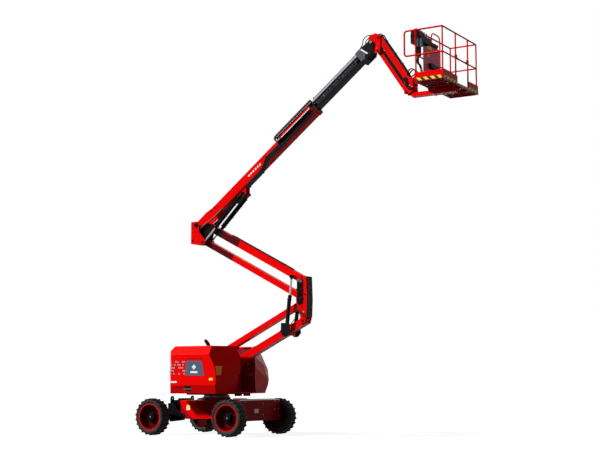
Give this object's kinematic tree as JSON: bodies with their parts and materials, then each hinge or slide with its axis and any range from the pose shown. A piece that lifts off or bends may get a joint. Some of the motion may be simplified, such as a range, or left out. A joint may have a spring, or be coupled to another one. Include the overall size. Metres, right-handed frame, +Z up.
{
  "type": "articulating boom lift",
  "caption": "Self-propelled articulating boom lift: wheeled chassis, slewing hood, parallel-link riser, telescopic boom, jib and railed work platform.",
  "frame": {"origin": "centre of the whole box, on the ground", "axes": "+X the side the boom reaches over, along the chassis; +Y across the machine to its far side; +Z up"},
  "size_m": [7.8695, 2.369, 9.0049],
  "materials": {
    "tyre": "matte black rubber, greyish-brown sidewalls",
    "rim_paint": "gloss red paint",
    "chassis_paint": "satin black paint",
    "slew_steel": "machined steel, greased",
    "table_paint": "gloss red paint",
    "partition_paint": "satin black paint",
    "cast_weight": "painted cast iron",
    "engine_block": "plain block that stands for the engine and its pumps",
    "tank_plastic": "plain block that stands for the tanks",
    "cover_plastic": "gloss red moulded cover",
    "riser_paint": "gloss red paint",
    "knee_paint": "gloss red paint",
    "boom_paint": "gloss red paint",
    "boom_dark_paint": "dark satin paint",
    "cylinder_paint": "satin black paint",
    "rod_chrome": "polished chrome",
    "tray_steel": "bare steel",
    "chain_plastic": "moulded cable chain",
    "platform_paint": "gloss red paint",
    "floor_aluminium": "painted grating",
    "toe_paint": "gloss red paint with striped edges",
    "panel_plastic": "sheet panel",
    "console_plastic": "black moulded box"
  },
  "bodies": {
    "chassis": {"chassis_frame": "chassis_paint", "chassis_wing_near": "chassis_paint", "chassis_wing_far": "chassis_paint", "drive_end_box": "chassis_paint", "steer_axle": "chassis_paint", "steer_cylinder": "chassis_paint", "slew_ring": "slew_steel"},
    "knuckle_near": {"knuckle_near": "chassis_paint"},
    "knuckle_far": {"knuckle_far": "chassis_paint"},
    "tie_rod": {"tie_rod": "chassis_paint"},
    "wheel_steer_near": {"tyre_steer_near": "tyre", "rim_steer_near": "rim_paint"},
    "wheel_steer_far": {"tyre_steer_far": "tyre", "rim_steer_far": "rim_paint"},
    "wheel_drive_near": {"tyre_drive_near": "tyre", "rim_drive_near": "rim_paint"},
    "wheel_drive_far": {"tyre_drive_far": "tyre", "rim_drive_far": "rim_paint"},
    "turntable": {"turntable_frame": "table_paint", "partition_near": "partition_paint", "partition_far": "partition_paint", "counterweight": "cast_weight", "side_weight_near": "cast_weight", "side_weight_far": "cast_weight", "engine": "engine_block", "hydraulic_tank": "tank_plastic", "exhaust": "partition_paint"},
    "cover_near": {"cover_near": "cover_plastic"},
    "cover_far": {"cover_far": "cover_plastic"},
    "lower_arm": {"lower_arm": "riser_paint"},
    "lower_link": {"lower_link": "riser_paint"},
    "knee": {"knee": "knee_paint"},
    "upper_arm": {"upper_arm": "riser_paint"},
    "upper_link": {"upper_link": "riser_paint"},
    "upright": {"upright": "knee_paint"},
    "riser_barrels": {"riser_barrels": "cylinder_paint"},
    "riser_rods": {"riser_rod_near": "rod_chrome", "riser_rod_far": "rod_chrome"},
    "boom_outer": {"boom_outer": "boom_paint", "chain_tray": "tray_steel"},
    "lift_barrels": {"lift_barrels": "cylinder_paint"},
    "lift_rods": {"lift_rod_near": "rod_chrome", "lift_rod_far": "rod_chrome"},
    "boom_inner": {"boom_inner": "boom_dark_paint"},
    "energy_chain": {"energy_chain": "chain_plastic"},
    "boom_head": {"boom_head": "boom_dark_paint"},
    "jib_lower_arm": {"jib_lower_arm": "boom_dark_paint"},
    "jib_upper_arm": {"jib_upper_arm": "boom_dark_paint"},
    "jib_barrel": {"jib_barrel": "cylinder_paint"},
    "jib_rod": {"jib_rod": "rod_chrome"},
    "jib_end": {"jib_end": "boom_dark_paint"},
    "platform": {"platform_support": "platform_paint", "platform_floor": "floor_aluminium", "toe_boards": "toe_paint", "platform_rails": "platform_paint", "back_panel": "panel_plastic", "control_console": "console_plastic"},
    "gate_bar": {"gate_bar": "platform_paint"}
  },
  "joints": [
    {"name": "slew", "type": "hinge", "parent": "chassis", "child": "turntable", "pos_m": [-2.434, 0, 0.925], "axis": [0, 0, 1], "range_deg": [-177.5, 177.5]},
    {"name": "steer", "type": "hinge", "parent": "chassis", "child": "knuckle_near", "pos_m": [-3.5105, -0.8, 0.424], "axis": [0, 0, 1], "range_deg": [-32, 32]},
    {"name": "steer_far_side", "type": "hinge", "parent": "chassis", "child": "knuckle_far", "pos_m": [-3.5105, 0.8, 0.424], "axis": [0, 0, 1], "range_deg": [-32.5, 32.5]},
    {"name": "tie_rod_turn", "type": "hinge", "parent": "knuckle_near", "child": "tie_rod", "pos_m": [-3.3405, -0.8, 0.502], "axis": [0, 0, 1], "range_deg": [-32.5, 32.5]},
    {"name": "steer_near_spin", "type": "hinge", "parent": "knuckle_near", "child": "wheel_steer_near", "pos_m": [-3.5105, -1.0415, 0.424], "axis": [0, 1, 0], "continuous": true},
    {"name": "drive_near_spin", "type": "hinge", "parent": "chassis", "child": "wheel_drive_near", "pos_m": [-1.3575, -1.0415, 0.424], "axis": [0, 1, 0], "continuous": true},
    {"name": "steer_far_spin", "type": "hinge", "parent": "knuckle_far", "child": "wheel_steer_far", "pos_m": [-3.5105, 1.0415, 0.424], "axis": [0, 1, 0], "continuous": true},
    {"name": "drive_far_spin", "type": "hinge", "parent": "chassis", "child": "wheel_drive_far", "pos_m": [-1.3575, 1.0415, 0.424], "axis": [0, 1, 0], "continuous": true},
    {"name": "riser_lift", "type": "hinge", "parent": "turntable", "child": "lower_arm", "pos_m": [-2.665, 0, 1.266], "axis": [0, -1, 0], "range_deg": [-26.5, 42]},
    {"name": "lower_link_turn", "type": "hinge", "parent": "turntable", "child": "lower_link", "pos_m": [-2.77, 0, 1.656], "axis": [0, -1, 0], "range_deg": [-27, 42.5]},
    {"name": "knee_turn", "type": "hinge", "parent": "lower_arm", "child": "knee", "pos_m": [0.01085, 0, 2.60013], "axis": [0, -1, 0], "range_deg": [-42.5, 27]},
    {"name": "upper_arm_turn", "type": "hinge", "parent": "knee", "child": "upper_arm", "pos_m": [-0.01515, 0, 3.52913], "axis": [0, -1, 0], "range_deg": [-42.5, 27]},
    {"name": "upper_link_turn", "type": "hinge", "parent": "knee", "child": "upper_link", "pos_m": [-0.09515, 0, 3.15913], "axis": [0, -1, 0], "range_deg": [-42.5, 27]},
    {"name": "upright_turn", "type": "hinge", "parent": "upper_arm", "child": "upright", "pos_m": [-2.66247, 0, 4.91901], "axis": [0, -1, 0], "range_deg": [-27, 42.5]},
    {"name": "riser_barrel_turn", "type": "hinge", "parent": "lower_arm", "child": "riser_barrels", "pos_m": [-0.37674, 0, 2.32643], "axis": [0, -1, 0], "range_deg": [-34.69, 22.07]},
    {"name": "riser_rod_slide", "type": "slide", "parent": "riser_barrels", "child": "riser_rods", "axis": [0.1027, 0, 0.9947], "range_m": [-0.24002, 0.37748]},
    {"name": "boom_lift", "type": "hinge", "parent": "upright", "child": "boom_outer", "pos_m": [-2.93847, 0, 4.96401], "axis": [0, 1, 0], "range_deg": [-36, 38.3]},
    {"name": "lift_barrel_turn", "type": "hinge", "parent": "boom_outer", "child": "lift_barrels", "pos_m": [-1.64109, 0, 5.6382], "axis": [0, 1, 0], "range_deg": [-3.56, 3.38]},
    {"name": "lift_rod_slide", "type": "slide", "parent": "lift_barrels", "child": "lift_rods", "axis": [-0.711, 0, -0.7032], "range_m": [-0.2873, 0.27035]},
    {"name": "telescope", "type": "slide", "parent": "boom_outer", "child": "boom_inner", "axis": [0.7848, 0, 0.6198], "range_m": [-1.4, 0.7]},
    {"name": "chain_travel", "type": "slide", "parent": "boom_outer", "child": "energy_chain", "axis": [0.7848, 0, 0.6198], "range_m": [-0.705, 0.355]},
    {"name": "boom_head_level", "type": "hinge", "parent": "boom_inner", "child": "boom_head", "pos_m": [1.80887, 0, 8.79988], "axis": [0, 1, 0], "range_deg": [-38.8, 36.5]},
    {"name": "jib_lift", "type": "hinge", "parent": "boom_head", "child": "jib_lower_arm", "pos_m": [1.95687, 0, 8.59888], "axis": [0, -1, 0], "range_deg": [-9, 126]},
    {"name": "jib_upper_turn", "type": "hinge", "parent": "boom_head", "child": "jib_upper_arm", "pos_m": [1.97287, 0, 8.89189], "axis": [0, -1, 0], "range_deg": [-9.5, 126.5]},
    {"name": "jib_end_level", "type": "hinge", "parent": "jib_lower_arm", "child": "jib_end", "pos_m": [2.65586, 0, 7.56259], "axis": [0, -1, 0], "range_deg": [-126.5, 9.5]},
    {"name": "jib_barrel_turn", "type": "hinge", "parent": "boom_head", "child": "jib_barrel", "pos_m": [1.95687, 0, 8.59888], "axis": [0, -1, 0], "range_deg": [-9.23, 122.72]},
    {"name": "jib_rod_slide", "type": "slide", "parent": "jib_barrel", "child": "jib_rod", "axis": [0.6933, 0, -0.7207], "range_m": [-0.04482, 0.56251]},
    {"name": "platform_rotate", "type": "hinge", "parent": "jib_end", "child": "platform", "pos_m": [2.818, 0, 7.7], "axis": [0, 0, 1], "range_deg": [-90, 90]},
    {"name": "gate_lift", "type": "slide", "parent": "platform", "child": "gate_bar", "axis": [0, 0, 1], "range_m": [0, 0.45]},
    {"name": "cover_near_open", "type": "hinge", "parent": "turntable", "child": "cover_near", "pos_m": [-2.634, -0.324, 2.014], "axis": [-1, 0, 0], "range_deg": [0, 60]},
    {"name": "cover_far_open", "type": "hinge", "parent": "turntable", "child": "cover_far", "pos_m": [-2.634, 0.324, 2.014], "axis": [1, 0, 0], "range_deg": [0, 60]}
  ],
  "couplings": [
    {"joint": "steer_far_side", "follows": "steer", "ratio": 1},
    {"joint": "tie_rod_turn", "follows": "steer", "ratio": -1},
    {"joint": "lower_link_turn", "follows": "riser_lift", "ratio": 1},
    {"joint": "knee_turn", "follows": "riser_lift", "ratio": -1},
    {"joint": "upper_arm_turn", "follows": "riser_lift", "ratio": -1},
    {"joint": "upper_link_turn", "follows": "riser_lift", "ratio": -1},
    {"joint": "upright_turn", "follows": "riser_lift", "ratio": 1},
    {"joint": "riser_barrel_turn", "follows": "riser_lift", "ratio": -0.81405},
    {"joint": "riser_rod_slide", "follows": "riser_lift", "m_per_rad": 0.50814},
    {"joint": "chain_travel", "follows": "telescope", "ratio": 0.5},
    {"joint": "lift_barrel_turn", "follows": "boom_lift", "ratio": -0.079931},
    {"joint": "lift_rod_slide", "follows": "boom_lift", "m_per_rad": -0.42232},
    {"joint": "boom_head_level", "follows": "boom_lift", "ratio": -1},
    {"joint": "jib_upper_turn", "follows": "jib_lift", "ratio": 1},
    {"joint": "jib_end_level", "follows": "jib_lift", "ratio": -1},
    {"joint": "jib_barrel_turn", "follows": "jib_lift", "ratio": 0.97},
    {"joint": "jib_rod_slide", "follows": "jib_lift", "m_per_rad": 0.25351}
  ]
}
